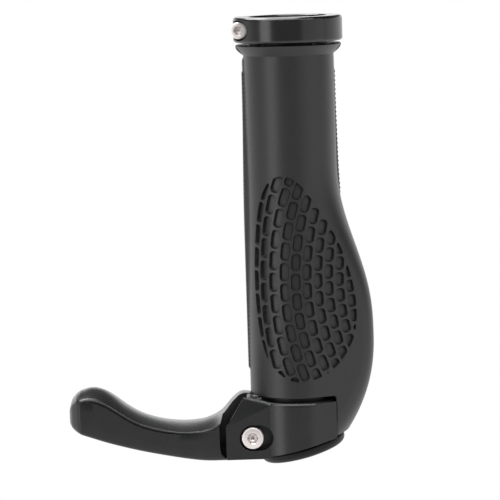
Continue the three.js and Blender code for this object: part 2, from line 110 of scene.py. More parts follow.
# %% [markdown]
# A black object on white is lit by what it mirrors. The room is bright behind the grip, which
# gives the pale rims at both edges, and dim in front of it and high up. Two upright softboxes draw
# the long soft bands on the round parts: a strong narrow one at the left and a weak one at the
# right. A long one above the camera draws the thin bright lines along the clamp's rim and the
# horn's lip, and two small ones light the horn's crown from overhead and its tip from the rear.
# The floor glows round the grip and is dim far in front of it. Floor and room are plain white to
# the camera, so that no horizon shows.

# %% Floor, room and lights
FLOOR_LEVEL = -0.3
FLOOR_SIZE = 60
FLOOR_FADE = (-4.0, 0.4)
FLOOR_FAR = 0.24
FLOOR_NEAR = 1.0
ROOM_FRONT = 0.26
ROOM_BACK = 1.7
ROOM_FADE = (0.15, 0.9)
ROOM_HIGH = 0.08
HEIGHT_FADE = (0.03, 0.36)
SOFTBOX_AIM = Vector((0, 0, 0.06))
SOFTBOX_DISTANCE = 0.9


def add_node(tree, kind, **sockets):
    """A shader node with some of its input sockets set by name."""
    node = tree.nodes.new(kind)
    for name, value in sockets.items():
        node.inputs[name.replace("_", " ")].default_value = value
    return node


def soft_ramp(tree, value, fade, low, high):
    """A strength that goes softly from low to high while a coordinate crosses the fade."""
    ramp = add_node(
        tree, "ShaderNodeMapRange", From_Min=fade[0], From_Max=fade[1], To_Min=low, To_Max=high,
    )
    ramp.interpolation_type = "SMOOTHSTEP"
    tree.links.new(value, ramp.inputs["Value"])
    return ramp.outputs[0]


def white_for_camera(tree, light, output):
    """Plain white to the camera, and the given light for everything else."""
    plain = add_node(tree, "ShaderNodeEmission", Color=(1, 1, 1, 1), Strength=1.0)
    path = tree.nodes.new("ShaderNodeLightPath")
    choice = tree.nodes.new("ShaderNodeMixShader")
    tree.links.new(path.outputs["Is Camera Ray"], choice.inputs[0])
    tree.links.new(light, choice.inputs[1])
    tree.links.new(plain.outputs[0], choice.inputs[2])
    tree.links.new(choice.outputs[0], output)


floor_mesh = bpy.data.meshes.new("floor")
shape = bmesh.new()
bmesh.ops.create_grid(shape, x_segments=1, y_segments=1, size=FLOOR_SIZE)
bmesh.ops.translate(shape, verts=shape.verts, vec=(0, 0, FLOOR_LEVEL))
shape.to_mesh(floor_mesh)
shape.free()
floor = bpy.data.objects.new("floor", floor_mesh)
bpy.context.scene.collection.objects.link(floor)
floor_paper = bpy.data.materials.new("floor_paper")
floor_paper.use_nodes = True
tree = floor_paper.node_tree
tree.nodes.clear()
spot = tree.nodes.new("ShaderNodeTexCoord")
spot_parts = tree.nodes.new("ShaderNodeSeparateXYZ")
tree.links.new(spot.outputs["Object"], spot_parts.inputs[0])
sweep = soft_ramp(tree, spot_parts.outputs["Y"], FLOOR_FADE, FLOOR_FAR, FLOOR_NEAR)
glow = add_node(tree, "ShaderNodeEmission", Color=(1, 1, 1, 1))
tree.links.new(sweep, glow.inputs["Strength"])
surface = tree.nodes.new("ShaderNodeOutputMaterial")
white_for_camera(tree, glow.outputs[0], surface.inputs[0])
floor_mesh.materials.append(floor_paper)

world = bpy.data.worlds.new("studio")
bpy.context.scene.world = world
world.use_nodes = True
tree = world.node_tree
tree.nodes.clear()
direction = tree.nodes.new("ShaderNodeTexCoord")
parts = tree.nodes.new("ShaderNodeSeparateXYZ")
tree.links.new(direction.outputs["Generated"], parts.inputs[0])
depth = soft_ramp(tree, parts.outputs["Y"], ROOM_FADE, ROOM_FRONT, ROOM_BACK)
height = soft_ramp(tree, parts.outputs["Z"], HEIGHT_FADE, 1.0, ROOM_HIGH)
strength = tree.nodes.new("ShaderNodeMath")
strength.operation = "MULTIPLY"
tree.links.new(depth, strength.inputs[0])
tree.links.new(height, strength.inputs[1])
room = add_node(tree, "ShaderNodeBackground", Color=(1, 1, 1, 1))
tree.links.new(strength.outputs[0], room.inputs["Strength"])
surface = tree.nodes.new("ShaderNodeOutputWorld")
white_for_camera(tree, room.outputs[0], surface.inputs[0])


def softbox(name, azimuth, elevation, width, height, brightness):
    """An area light that faces the grip. Brightness is the radiance of its cloth."""
    azimuth, elevation = math.radians(azimuth), math.radians(elevation)
    data = bpy.data.lights.new(name, "AREA")
    data.shape = "RECTANGLE"
    data.size = width
    data.size_y = height
    data.energy = brightness * math.pi * width * height
    light = bpy.data.objects.new(name, data)
    flat = Vector((math.sin(azimuth), -math.cos(azimuth), 0)) * math.cos(elevation)
    away = flat + Vector((0, 0, math.sin(elevation)))
    light.location = SOFTBOX_AIM + away * SOFTBOX_DISTANCE
    light.rotation_euler = away.to_track_quat("Z", "Y").to_euler()
    bpy.context.scene.collection.objects.link(light)
    light.visible_camera = False


softbox("left_softbox", -49, 0, width=0.36, height=1.0, brightness=1.8)
softbox("right_softbox", 54, 0, width=0.85, height=1.3, brightness=0.42)
softbox("top_softbox", -5, 45, width=2.4, height=0.25, brightness=6.5)
softbox("overhead_softbox", -90, 80, width=0.7, height=0.7, brightness=5.5)
softbox("rear_softbox", -125, 56, width=0.5, height=0.4, brightness=7.0)
bpy.context.scene.view_settings.view_transform = "Standard"

# %% [markdown]
# Most pieces are turned or extruded, then drilled and slotted. The few helpers here do those
# jobs: a profile is spun round an axis, an outline is pushed to a depth, and a cutter is joined or
# taken away with a boolean whose result is applied at once.

# %% Helpers for turned and cut solids
def smooth(low, high, value):
    """Soft step from 0 to 1 between two values."""
    share = np.clip((value - low) / (high - low), 0, 1)
    return share ** 3 * (share * (share * 6 - 15) + 10)


def working(shape, name):
    """A working object from a bmesh, still in millimetres."""
    bmesh.ops.recalc_face_normals(shape, faces=shape.faces)
    mesh = bpy.data.meshes.new(name)
    shape.to_mesh(mesh)
    shape.free()
    item = bpy.data.objects.new(name, mesh)
    bpy.context.scene.collection.objects.link(item)
    return item


def apply_modifiers(item):
    """Keep the modifiers' result as the object's own mesh."""
    graph = bpy.context.evaluated_depsgraph_get()
    mesh = bpy.data.meshes.new_from_object(item.evaluated_get(graph))
    item.modifiers.clear()
    item.data = mesh


def combine(item, tool, operation="DIFFERENCE"):
    """Cut away, join or keep the overlap with a second closed object, which is used up."""
    step = item.modifiers.new("combine", "BOOLEAN")
    step.operation = operation
    step.solver = "MANIFOLD"
    step.object = tool
    apply_modifiers(item)
    bpy.data.objects.remove(tool)
    return item


def turned(name, profile, steps=96):
    """Solid of revolution round Z from (radius, level) points. Points on the axis are allowed."""
    shape = bmesh.new()
    points = [shape.verts.new((radius, 0, level)) for radius, level in profile]
    edges = [shape.edges.new(pair) for pair in zip(points, points[1:])]
    if min(profile[0][0], profile[-1][0]) > 0:
        edges.append(shape.edges.new((points[-1], points[0])))
    bmesh.ops.spin(
        shape, geom=points + edges, cent=(0, 0, 0), axis=(0, 0, 1),
        angle=math.tau, steps=steps, use_merge=True,
    )
    bmesh.ops.remove_doubles(shape, verts=shape.verts, dist=1e-3)
    return working(shape, name)


def cylinder(name, radius, low, high, steps=96):
    """Plain round bar along Z."""
    return turned(name, [(0, low), (radius, low), (radius, high), (0, high)], steps)


def block(name, low, high):
    """Box between two corners."""
    shape = bmesh.new()
    bmesh.ops.create_cube(shape, size=1)
    size = Vector(high) - Vector(low)
    middle = (Vector(high) + Vector(low)) / 2
    bmesh.ops.scale(shape, verts=shape.verts, vec=size)
    bmesh.ops.translate(shape, verts=shape.verts, vec=middle)
    return working(shape, name)


def place(item, matrix):
    """Move a working object's mesh, not the object."""
    item.data.transform(matrix)
    return item


def along_y(x, z):
    """Turns what was made along Z so that it points to the palm side, at a given place."""
    return Matrix.Translation((x, 0, z)) @ Matrix.Rotation(math.radians(90), 4, "X")


def plate(name, outline, front, rear):
    """Outline in X and Z, pushed from the front level to the rear level along Y."""
    shape = bmesh.new()
    face = shape.faces.new([shape.verts.new((x, front, z)) for x, z in outline])
    pushed = bmesh.ops.extrude_face_region(shape, geom=[face])
    moved = [v for v in pushed["geom"] if isinstance(v, bmesh.types.BMVert)]
    bmesh.ops.translate(shape, verts=moved, vec=(0, rear - front, 0))
    return working(shape, name)


def half_space(name, point, normal):
    """Everything on the side of a plane that the normal points to."""
    item = block(name, (-FAR, -FAR, 0), (FAR, FAR, FAR))
    facing = Vector(normal).to_track_quat("Z", "Y").to_matrix().to_4x4()
    return place(item, Matrix.Translation(Vector(point)) @ facing)


def shave(item, a, b, c):
    """Cut away what lies to the palm side of the plane through three points."""
    a, b, c = Vector(a), Vector(b), Vector(c)
    normal = (b - a).cross(c - a)
    return combine(item, half_space("in_front", a, normal * -math.copysign(1, normal.y)))


def arc(centre, radius, start, end, steps):
    """Points on an arc, from one angle to another in degrees."""
    angles = [math.radians(start + (end - start) * i / steps) for i in range(steps + 1)]
    return [(centre[0] + radius * math.cos(a), centre[1] + radius * math.sin(a)) for a in angles]


def finish_piece(item, node, material, sharp=32):
    """Scale a working object to metres and hand it to the frame in place of its plain solid."""
    item.name = node + "_fine"
    item.data.transform(Matrix.Scale(MM, 4))
    item.data.name = item.name
    item.data.materials.clear()
    item.data.materials.append(material)
    item.data.shade_smooth()
    item.data.set_sharp_from_angle(angle=math.radians(sharp))
    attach(item, "root")
    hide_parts(node)
    corners = sum(len(f.vertices) - 2 for f in item.data.polygons)
    print(item.name, "has", corners, "triangles")
    return item


# %% [markdown]
# All but the steel are dark, so what tells them apart is gloss and grain. The rubber is matt with a
# fine moulded grain, the ring is anodised to a soft gloss, the horn has a satin sprayed coat over a
# cast skin, the cap is plain plastic and the screws are bright turned steel. The patterns are
# worked out from Object coordinates, so they sit still on each piece. A Bevel node rounds the look
# of the few cut edges that stay sharp in the mesh. In narrow hollows such as the pits and the slit,
# an ambient occlusion node paints shade into the colour and raises the roughness, so they turn darker
# and duller.

# %% Finishes
MOTTLE_SCALE = 180.0
NOISE_LOW = 0.3
NOISE_HIGH = 0.7
GLOSS_SPREAD = 0.08
HOLLOW_CLOSED = 0.3
HOLLOW_OPEN = 0.85
HOLLOW_DULLING = 2.0


def finish(
    name, colour, roughness, grain, grain_depth, mottle=0.12, metallic=0.0, edge=0.0, hollow=0.0,
    **extra,
):
    """A procedural surface: a fine noise for grain and gloss, a slow one for colour, and, where a
    reach for hollows is given, painted shade that darkens the colour in hollows and a higher
    roughness there."""
    material = bpy.data.materials.new(name)
    material.use_nodes = True
    tree = material.node_tree
    surface = tree.nodes["Principled BSDF"]
    surface.inputs["Metallic"].default_value = metallic
    for socket, value in extra.items():
        surface.inputs[socket.replace("_", " ")].default_value = value
    place_node = tree.nodes.new("ShaderNodeTexCoord")
    slow = add_node(tree, "ShaderNodeTexNoise", Scale=MOTTLE_SCALE, Detail=4.0, Roughness=0.6)
    fine = add_node(tree, "ShaderNodeTexNoise", Scale=grain, Detail=5.0, Roughness=0.65)
    for noise in (slow, fine):
        tree.links.new(place_node.outputs["Object"], noise.inputs["Vector"])
    shades = tree.nodes.new("ShaderNodeValToRGB")
    dark, light = shades.color_ramp.elements
    dark.position = NOISE_LOW
    dark.color = [c * (1 - mottle) for c in colour] + [1]
    light.position = NOISE_HIGH
    light.color = [c * (1 + mottle) for c in colour] + [1]
    tree.links.new(slow.outputs["Fac"], shades.inputs["Fac"])
    tree.links.new(shades.outputs["Color"], surface.inputs["Base Color"])
    gloss = add_node(
        tree, "ShaderNodeMapRange", From_Min=NOISE_LOW, From_Max=NOISE_HIGH,
        To_Min=roughness * (1 - GLOSS_SPREAD), To_Max=roughness * (1 + GLOSS_SPREAD),
    )
    tree.links.new(fine.outputs["Fac"], gloss.inputs["Value"])
    tree.links.new(gloss.outputs[0], surface.inputs["Roughness"])
    if hollow:
        # Painted shade: ambient occlusion darkens the base colour in hollows, and it also raises the
        # roughness there.
        painted_hollow_shade = add_node(tree, "ShaderNodeAmbientOcclusion", Distance=hollow * MM)
        painted_hollow_shade.only_local = True
        painted_hollow_shade.samples = 6
        dulling = add_node(
            tree, "ShaderNodeMapRange", From_Min=HOLLOW_CLOSED, From_Max=HOLLOW_OPEN,
            To_Min=HOLLOW_DULLING, To_Max=1.0,
        )
        tree.links.new(painted_hollow_shade.outputs["AO"], dulling.inputs["Value"])
        tree.links.new(shades.outputs["Color"], painted_hollow_shade.inputs["Color"])
        tree.links.new(painted_hollow_shade.outputs["Color"], surface.inputs["Base Color"])
        dulled = tree.nodes.new("ShaderNodeMath")
        dulled.operation = "MULTIPLY"
        tree.links.new(gloss.outputs[0], dulled.inputs[0])
        tree.links.new(dulling.outputs[0], dulled.inputs[1])
        tree.links.new(dulled.outputs[0], surface.inputs["Roughness"])
    bump = add_node(tree, "ShaderNodeBump", Strength=1.0, Distance=grain_depth * MM)
    tree.links.new(fine.outputs["Fac"], bump.inputs["Height"])
    if edge:
        rounding = add_node(tree, "ShaderNodeBevel", Radius=edge * MM)
        rounding.samples = 4
        tree.links.new(rounding.outputs[0], bump.inputs["Normal"])
    tree.links.new(bump.outputs[0], surface.inputs["Normal"])
    return material


# hollow sets how far the painted shade in hollows reaches, in millimetres.
RUBBER = finish(
    "moulded_rubber", (0.007, 0.007, 0.0072), 0.37, 2400.0, 0.05, hollow=1.6,
    Specular_IOR_Level=0.62,
)
ANODISED = finish(
    "black_anodising", (0.005, 0.005, 0.0055), 0.2, 3000.0, 0.008, edge=0.15,
    Specular_IOR_Level=0.68,
)
COATED = finish(
    "satin_coat", (0.013, 0.0132, 0.0138), 0.26, 2600.0, 0.02, edge=0.25, hollow=4.0,
    Specular_IOR_Level=0.43,
)
NYLON = finish("moulded_nylon", (0.010, 0.010, 0.011), 0.5, 1800.0, 0.02, edge=0.15)
PLASTIC = finish(
    "cap_plastic", (0.008, 0.008, 0.0085), 0.45, 2200.0, 0.02, edge=0.15,
    Specular_IOR_Level=0.25,
)
STEEL = finish(
    "turned_steel", (0.80, 0.745, 0.725), 0.34, 4200.0, 0.01, edge=0.08, hollow=1.1,
    mottle=0.06, metallic=0.6,
)
print("finishes:", [m.name for m in bpy.data.materials])

# %% [markdown]
# The lock ring is a turned collar with a rounded chamfer at each edge, sawn through at its left side
# and drilled across the cut for a small socket screw that sits in a counterbore. It is spun from its
# section, and the saw cut, the counterbore and the clearance hole are taken away from it.

# %% Lock ring
CHAMFER = 0.6
CHAMFER_BULGE = 0.12
CHAMFER_TURN = 0.2
BORE_EDGE = 0.3
RING_SPLIT = 1.6
RING_POCKET_RADIUS = 3.3
RING_SCREW_X = -(BORE_RADIUS + RING_RADIUS) / 2
RING_SCREW_Z = (RING_LOW.z + RING_HIGH.z) / 2
RING_SEAT_Y = -5.2
RING_SCREW_LENGTH = 9.6
RING_TURN = Matrix.Rotation(math.radians(-6), 4, "Z")
RING_HOLE_RADIUS = 1.6

low, high = RING_LOW.z, RING_HIGH.z
shoulder = RING_RADIUS - CHAMFER_BULGE
ring = turned("ring", [
    (BORE_RADIUS, low + BORE_EDGE), (BORE_RADIUS + BORE_EDGE, low), (RING_RADIUS - CHAMFER, low),
    (shoulder, low + CHAMFER - CHAMFER_TURN), (RING_RADIUS, low + CHAMFER),
    (RING_RADIUS, low + 1.5 * CHAMFER), (RING_RADIUS, high - 1.5 * CHAMFER),
    (RING_RADIUS, high - CHAMFER), (shoulder, high - CHAMFER + CHAMFER_TURN),
    (RING_RADIUS - CHAMFER, high), (BORE_RADIUS + BORE_EDGE, high), (BORE_RADIUS, high - BORE_EDGE),
], steps=180)
saw = block("saw", (-2 * RING_RADIUS, -RING_SPLIT / 2, low - 1), (0, RING_SPLIT / 2, high + 1))
combine(ring, saw)
pocket = cylinder("pocket", RING_POCKET_RADIUS, -RING_SEAT_Y, RING_RADIUS + 5, 64)
combine(ring, place(pocket, along_y(RING_SCREW_X, RING_SCREW_Z)))
hole_end = RING_SEAT_Y + RING_SCREW_LENGTH + SEAT
hole = cylinder("hole", RING_HOLE_RADIUS, -hole_end, -RING_SEAT_Y + 1, 40)
combine(ring, place(hole, along_y(RING_SCREW_X, RING_SCREW_Z)))
finish_piece(place(ring, RING_TURN), "lock_ring", ANODISED)

# %% [markdown]
# Both screws are socket head cap screws. The head is turned with a small chamfer, the shank below
# it is plain here because it never shows, and the hexagon socket has a countersunk mouth and ends
# in a drilled cone that catches the light. The chamfer is a share of the head's radius and the
# socket's sizes are shares of its height and key, so one function serves both screws.

# %% Socket head screws
HEAD_CHAMFER = 0.13
HEAD_FOOT_EDGE = 0.15
SHANK_EDGE = 0.3
SOCKET_DEPTH = 0.5
COUNTERSINK = 1.1
POINT_RADIUS = 0.49
POINT_DEPTH = 0.4


def socket_screw(name, x, seat_y, z, thread, head_width, head_height, key, shank_length):
    """Screw along Y, its head towards the palm side and seated at the given level."""
    head = head_width / 2
    length = shank_length + head_height
    chamfer = head * HEAD_CHAMFER
    socket_end = length - head_height * SOCKET_DEPTH
    socket = key / math.sqrt(3)
    shank = thread / 2
    screw = turned(name, [
        (0, 0), (shank - SHANK_EDGE, 0), (shank, SHANK_EDGE), (shank, shank_length),
        (head - HEAD_FOOT_EDGE, shank_length), (head, shank_length + HEAD_FOOT_EDGE),
        (head, length - chamfer * 1.2), (head - chamfer * 0.3, length - chamfer * 0.35),
        (head - chamfer, length), (0, length),
    ], steps=72)
    combine(screw, cylinder("socket", socket, socket_end, length + 1, 6))
    for tool, radius, depth, level in [
        ("countersink", socket * COUNTERSINK, socket * COUNTERSINK, length),
        ("drill_point", key * POINT_RADIUS, key * POINT_DEPTH, socket_end),
    ]:
        cone = [(0, level - depth), (radius, level + OVERLAP), (0, level + OVERLAP)]
        combine(screw, turned(tool, cone, 48))
    return place(screw, Matrix.Translation((0, seat_y + shank_length, 0)) @ along_y(x, z))


ring_screw = socket_screw(
    "ring_screw", RING_SCREW_X, RING_SEAT_Y, RING_SCREW_Z, thread=3, head_width=5.5,
    head_height=3, key=2.5, shank_length=RING_SCREW_LENGTH,
)
finish_piece(place(ring_screw, RING_TURN), "lock_ring_screw", STEEL)
CLAMP_HEAD_HEIGHT = 4
CLAMP_SCREW_X = (CLAMP_SCREW_LOW.x + CLAMP_SCREW_HIGH.x) / 2
CLAMP_SEAT_Y = CLAMP_SCREW_LOW.y + CLAMP_HEAD_HEIGHT
clamp_screw = socket_screw(
    "clamp_screw", CLAMP_SCREW_X, CLAMP_SEAT_Y, 0, thread=4, head_width=7,
    head_height=CLAMP_HEAD_HEIGHT, key=3, shank_length=CLAMP_SCREW_HIGH.y - CLAMP_SEAT_Y,
)
finish_piece(clamp_screw, "bar_end_screw", STEEL)

# %% [markdown]
# The core is a thin nylon tube that slides on the bar. Four slots at each end let the ring and the
# clamp squeeze it. Its lower end is cut along the same slanted seam as the clamp and the cap.

# %% Core sleeve
SEAM_LEVEL = -3.85
SEAM_TILT = math.radians(14.3)
SEAM_NORMAL = Vector((-math.sin(SEAM_TILT), 0, math.cos(SEAM_TILT)))
SLOT_WIDTH = 3
SLOT_DEPTH = 9
SLOT_COUNT = 4
SLEEVE_EDGE = 0.2

sleeve_bore = SLEEVE_RADIUS - SLEEVE_WALL
low, high = SLEEVE_LOW.z - 1, SLEEVE_HIGH.z
sleeve = turned("sleeve", [
    (sleeve_bore, low), (SLEEVE_RADIUS, low), (SLEEVE_RADIUS, high - SLEEVE_EDGE),
    (SLEEVE_RADIUS - SLEEVE_EDGE, high), (sleeve_bore + SLEEVE_EDGE, high),
    (sleeve_bore, high - SLEEVE_EDGE),
], steps=120)
slot_corner = Vector((2 * SLEEVE_RADIUS, SLOT_WIDTH / 2, SLOT_DEPTH))
for i in range(SLOT_COUNT):
    for level in (high, SEAM_LEVEL):
        slot = block("slot", (0, -slot_corner.y, -slot_corner.z), slot_corner)
        turn = Matrix.Rotation(math.tau * (2 * i + 1) / (2 * SLOT_COUNT), 4, "Z")
        combine(sleeve, place(slot, Matrix.Translation((0, 0, level)) @ turn))
combine(sleeve, half_space("below_seam", (0, 0, SEAM_LEVEL), -SEAM_NORMAL))
finish_piece(sleeve, "core_sleeve", NYLON)

# %% [markdown]
# The rubber is one moulding with no simple section, so its outside is a sheet that is bent by
# formula: columns run round the bar and rows run along it. At each level the section is a disc
# round the bar that is swept out into a small disc at the wing's edge. First come the formulas.

# %% Form of the rubber
HEEL_RADIUS = 15.35
NECK_RADIUS = 14.45
NECK_END = 92
NOTCH_TOP = 12.85
NOTCH_SIDE = 12
FLANGE_RADIUS = 16.9
FLANGE_HEIGHT = 3.4
FLANGE_TOP = GRIP_HIGH.z
FLANGE_FOOT = FLANGE_TOP - FLANGE_HEIGHT
FLANGE_CREST = 0.92
WING_REACH = 9.8
WING_TOP = 90.5
WING_WIDEST = 32
WING_FOOT = -1
WING_FALL = 2.3
WING_DIRECTION = math.radians(82)
WING_THINNING = 0.93
FLANK_ANGLE = math.acos(WING_THINNING / (1 + WING_THINNING))
PAD_RADIUS = 15.75
PAD_TOP_RADIUS = 15.1
PAD_THIN_FROM = 60
PAD_BOTTOM = 20
PAD_TOP = FLANGE_FOOT
KNURL_TOP = FLANGE_FOOT - 4.6
PAD_HORN_SIDE = math.radians(102)
PAD_WING_SIDE = math.radians(84)
PAD_RIM = 1.8
KNURL_HEIGHT = 0.34
BEAD_SIDE = math.radians(94)
BEAD_BLEND = 0.02
BEAD_SWELL = 1.15


def tube_radius(level):
    """Radius of the round body, a little fuller at the heel than at the neck."""
    return HEEL_RADIUS + (NECK_RADIUS - HEEL_RADIUS) * smooth(NOTCH_TOP, NECK_END, level)


def wing_reach(level):
    """How far the wing stands out from the tube."""
    above = WING_REACH * (1 - smooth(WING_WIDEST, WING_TOP, level))
    fall = np.clip((WING_WIDEST - level) / (WING_WIDEST - WING_FOOT), 0, 1)
    return np.where(level > WING_WIDEST, above, WING_REACH * (1 - fall ** WING_FALL))


def away_from(angle, centre):
    """Unsigned angle between two directions."""
    return np.abs(np.arctan2(np.sin(angle - centre), np.cos(angle - centre)))


def section_radius(angle, level):
    """Tube and wing. Angle 0 is the palm side and a quarter turn is the wing."""
    tube = tube_radius(level)
    reach = np.maximum(wing_reach(level), 1e-4)
    centre = reach * (1 + WING_THINNING)
    edge = tube - reach * WING_THINNING
    off = away_from(angle, WING_DIRECTION)
    edge_start = np.arctan2(edge * math.sin(FLANK_ANGLE), centre + edge * math.cos(FLANK_ANGLE))
    flank = tube / np.cos(np.maximum(FLANK_ANGLE - off, 0))
    inside = np.maximum(edge ** 2 - (centre * np.sin(off)) ** 2, 0)
    rounded = centre * np.cos(off) + np.sqrt(inside)
    return np.where(off >= FLANK_ANGLE, tube, np.where(off > edge_start, flank, rounded))


def pad_share(angle, level):
    """1 on the finger pad at the back, falling to 0 over its sloping rim."""
    rim = PAD_RIM / NECK_RADIUS
    along = smooth(PAD_BOTTOM, PAD_BOTTOM + PAD_RIM, level)
    along = along * (1 - smooth(PAD_TOP - PAD_RIM, PAD_TOP, level))
    half = np.where(np.sin(angle) < 0, PAD_HORN_SIDE, PAD_WING_SIDE)
    round_back = 1 - smooth(half - rim, half, away_from(angle, math.pi))
    clear = smooth(FLANK_ANGLE, FLANK_ANGLE + 2 * rim, away_from(angle, WING_DIRECTION))
    wing_here = np.minimum(wing_reach(level) / 2, 1)
    return along * round_back * (1 - wing_here * (1 - clear))


def flange_lift(angle, level):
    """A cone on the palm side, and a fuller bead round the back."""
    rise = np.clip((level - FLANGE_FOOT) / FLANGE_HEIGHT, 0, 1)
    cone = np.minimum(rise / FLANGE_CREST, 1 + FLANGE_CREST - rise)
    bead = np.sin(math.pi / 2 * np.minimum(BEAD_SWELL * rise, 1))
    at_back = 1 - smooth(BEAD_SIDE - BEAD_BLEND, BEAD_SIDE + BEAD_BLEND, away_from(angle, math.pi))
    spread = cone + (np.maximum(cone, bead) - cone) * at_back
    return (FLANGE_RADIUS - NECK_RADIUS) * spread


def grip_radius(angle, level):
    """The whole outside, without pits and knurl."""
    outer = PAD_RADIUS + (PAD_TOP_RADIUS - PAD_RADIUS) * smooth(PAD_THIN_FROM, PAD_TOP, level)
    pad = (outer - KNURL_HEIGHT / 2 - tube_radius(level)) * pad_share(angle, level)
    return section_radius(angle, level) + pad + flange_lift(angle, level)


widest = float(grip_radius(WING_DIRECTION, float(WING_WIDEST)))
print("widest", round(widest, 2), "mm from the bar's axis")

# %% [markdown]
# Detail decides how close the rows and columns stand: they are tight over the honeycomb panel and
# the knurled finger pad and loose elsewhere. Columns are spaced by the length round the section
# where the wing is widest, so that the wing's flank gets its share.

# %% Rows and columns of the sheet
def spaced(zones):
    """Values from a list of (end, step) zones, the first entry being the start."""
    values = [zones[0]]
    for end, step in zones[1:]:
        count = max(1, round((end - values[-1]) / step))
        values.extend(np.linspace(values[-1], end, count + 1)[1:])
    return np.array(values)


KNURL_ROW = 0.36
KNURL_COLUMN = 0.475
PANEL_COLUMN = 0.33
PROBE_LEVEL = 40.0
ROW_LEVELS = spaced([
    GRIP_LOW.z - 1, (11.6, 0.7), (13.6, 0.2), (17, 0.5), (PAD_BOTTOM, KNURL_ROW),
    (PAD_TOP, KNURL_ROW), (FLANGE_TOP - 0.6, 0.3), (FLANGE_TOP, 0.1),
])

probe = np.linspace(-math.pi, math.pi, 4001)
probe_radius = section_radius(probe, np.full(probe.shape, PROBE_LEVEL))
probe_x = probe_radius * np.sin(probe)
probe_y = -probe_radius * np.cos(probe)
probe_run = np.concatenate(([0], np.cumsum(np.hypot(np.diff(probe_x), np.diff(probe_y)))))
probe_run -= np.interp(0, probe, probe_run)


def run_at(degrees):
    """Length round the section from the palm side to a direction."""
    return float(np.interp(math.radians(degrees), probe, probe_run))


COLUMN_RUNS = spaced([
    run_at(-180), (run_at(-76), KNURL_COLUMN), (-16.6, 0.5), (21.6, PANEL_COLUMN),
    (run_at(96), 0.65), (run_at(143), 0.6), (run_at(180), KNURL_COLUMN),
])
COLUMN_ANGLES = np.interp(COLUMN_RUNS, probe_run, probe)
print(len(ROW_LEVELS), "rows and", len(COLUMN_ANGLES), "columns")

# %% [markdown]
# The palm panel is a field of long rounded pits. They stand in columns that bend round a point far
# out on the wing's side, and a closed curve trims the field. For every vertex the distance to the
# nearest pit's edge is known, so the vertices nearest to an edge are slid onto it: the rims come
# out crisp on a sheet that is no finer than a third of a millimetre. The pits then sink square to
# the surface, not towards the bar, so that their walls stand upright on the wing as well.

# %% Honeycomb pits
PIT_DEPTH = 1.15
PIT_WIDTH = 3.0
PIT_RIB = 0.66
PIT_COLUMN_PITCH = 3.7
PIT_ROW_ANGLE = 0.0797
PIT_CORNER = 1.25
PIT_WALL = 0.28
PIT_COLUMNS = (-4, 5)
PIT_ROWS = (-8, 8)
FAN_RADIUS = 79
FAN_LEVEL = 50.4
PANEL_FOOT = 18.1
PANEL_LENGTH = 66.1
PANEL_HALF_WIDTH = 18
PANEL_MIDDLE = 2.4
PANEL_OUTLINE = [
    (-0.33, 1), (-0.08, 0.973), (0.14, 0.906), (0.42, 0.797), (0.66, 0.685), (0.82, 0.581),
    (0.94, 0.467), (1, 0.346), (0.97, 0.233), (0.83, 0.144), (0.58, 0.065), (0.27, 0.018),
    (-0.11, 0), (-0.41, 0.029), (-0.7, 0.107), (-0.88, 0.233), (-0.98, 0.392), (-1, 0.558),
    (-0.93, 0.74), (-0.8, 0.876), (-0.59, 0.97),
]


def stretches(before, start, end, after, steps):
    """Points on smooth stretches from each start to its end, steered by the points beyond them."""
    pieces = []
    for i in range(steps):
        t = i / steps
        pieces.append(0.5 * (
            2 * start + (end - before) * t + (2 * before - 5 * start + 4 * end - after) * t ** 2
            + (3 * start - before - 3 * end + after) * t ** 3
        ))
    return np.stack(pieces, 1).reshape(-1, start.shape[1])


def closed_curve(points, steps):
    """Smooth closed curve through the points."""
    before, end, after = (np.roll(points, shift, 0) for shift in (1, -1, -2))
    return stretches(before, points, end, after, steps)


shares = np.array(PANEL_OUTLINE, float)
corners = np.column_stack((
    PANEL_MIDDLE + PANEL_HALF_WIDTH * shares[:, 0], PANEL_FOOT + PANEL_LENGTH * shares[:, 1],
))
panel_edge = closed_curve(corners, 6)


def panel_distance(run, level):
    """Distance to the panel's outline, negative inside it."""
    here = np.stack((run, level), -1)
    nearest = np.full(run.shape, FAR)
    inside = np.zeros(run.shape, bool)
    for a, b in zip(panel_edge, np.roll(panel_edge, -1, 0)):
        side = b - a
        share = np.clip(((here - a) @ side) / (side @ side), 0, 1)
        gap = here - a - share[..., None] * side
        nearest = np.minimum(nearest, np.hypot(gap[..., 0], gap[..., 1]))
        crosses = (a[1] > level) != (b[1] > level)
        if crosses.any():
            at = a[0] + (level - a[1]) / (side[1] if side[1] else 1e-9) * side[0]
            inside ^= crosses & (run < at)
    return np.where(inside, -nearest, nearest)


def pit_distance(run, level):
    """Distance to the edge of the nearest pit, negative inside it."""
    across, up = FAN_RADIUS - run, level - FAN_LEVEL
    radius = np.hypot(across, up)
    turn = np.arctan2(up, across)
    column = np.clip(np.round((FAN_RADIUS - radius) / PIT_COLUMN_PITCH), *PIT_COLUMNS)
    stagger = np.where(column % 2 == 0, 0.0, 0.5)
    row = np.clip(np.round(turn / PIT_ROW_ANGLE - stagger), *PIT_ROWS)
    off = turn - (row + stagger) * PIT_ROW_ANGLE
    own = FAN_RADIUS - PIT_COLUMN_PITCH * column
    aside = np.abs(radius * np.cos(off) - own) - (PIT_WIDTH / 2 - PIT_CORNER)
    beyond = np.abs(radius * np.sin(off)) - ((own * PIT_ROW_ANGLE - PIT_RIB) / 2 - PIT_CORNER)
    outside = np.hypot(np.maximum(aside, 0), np.maximum(beyond, 0))
    rounded = outside + np.minimum(np.maximum(aside, beyond), 0) - PIT_CORNER
    return np.maximum(rounded, panel_distance(run, level))


# %% [markdown]
# The finger pad at the back is knurled with small pyramids that stand edge to edge. They follow the
# rows and columns themselves: every fourth row and column carries a peak, a second set stands
# halfway between, and the height falls evenly from each peak to the valley two steps away. This
# cell puts every vertex in its place: the run round each section is measured from the palm side,
# then come the pits, the knurl and the small roundings at the notch and at the flange's top.

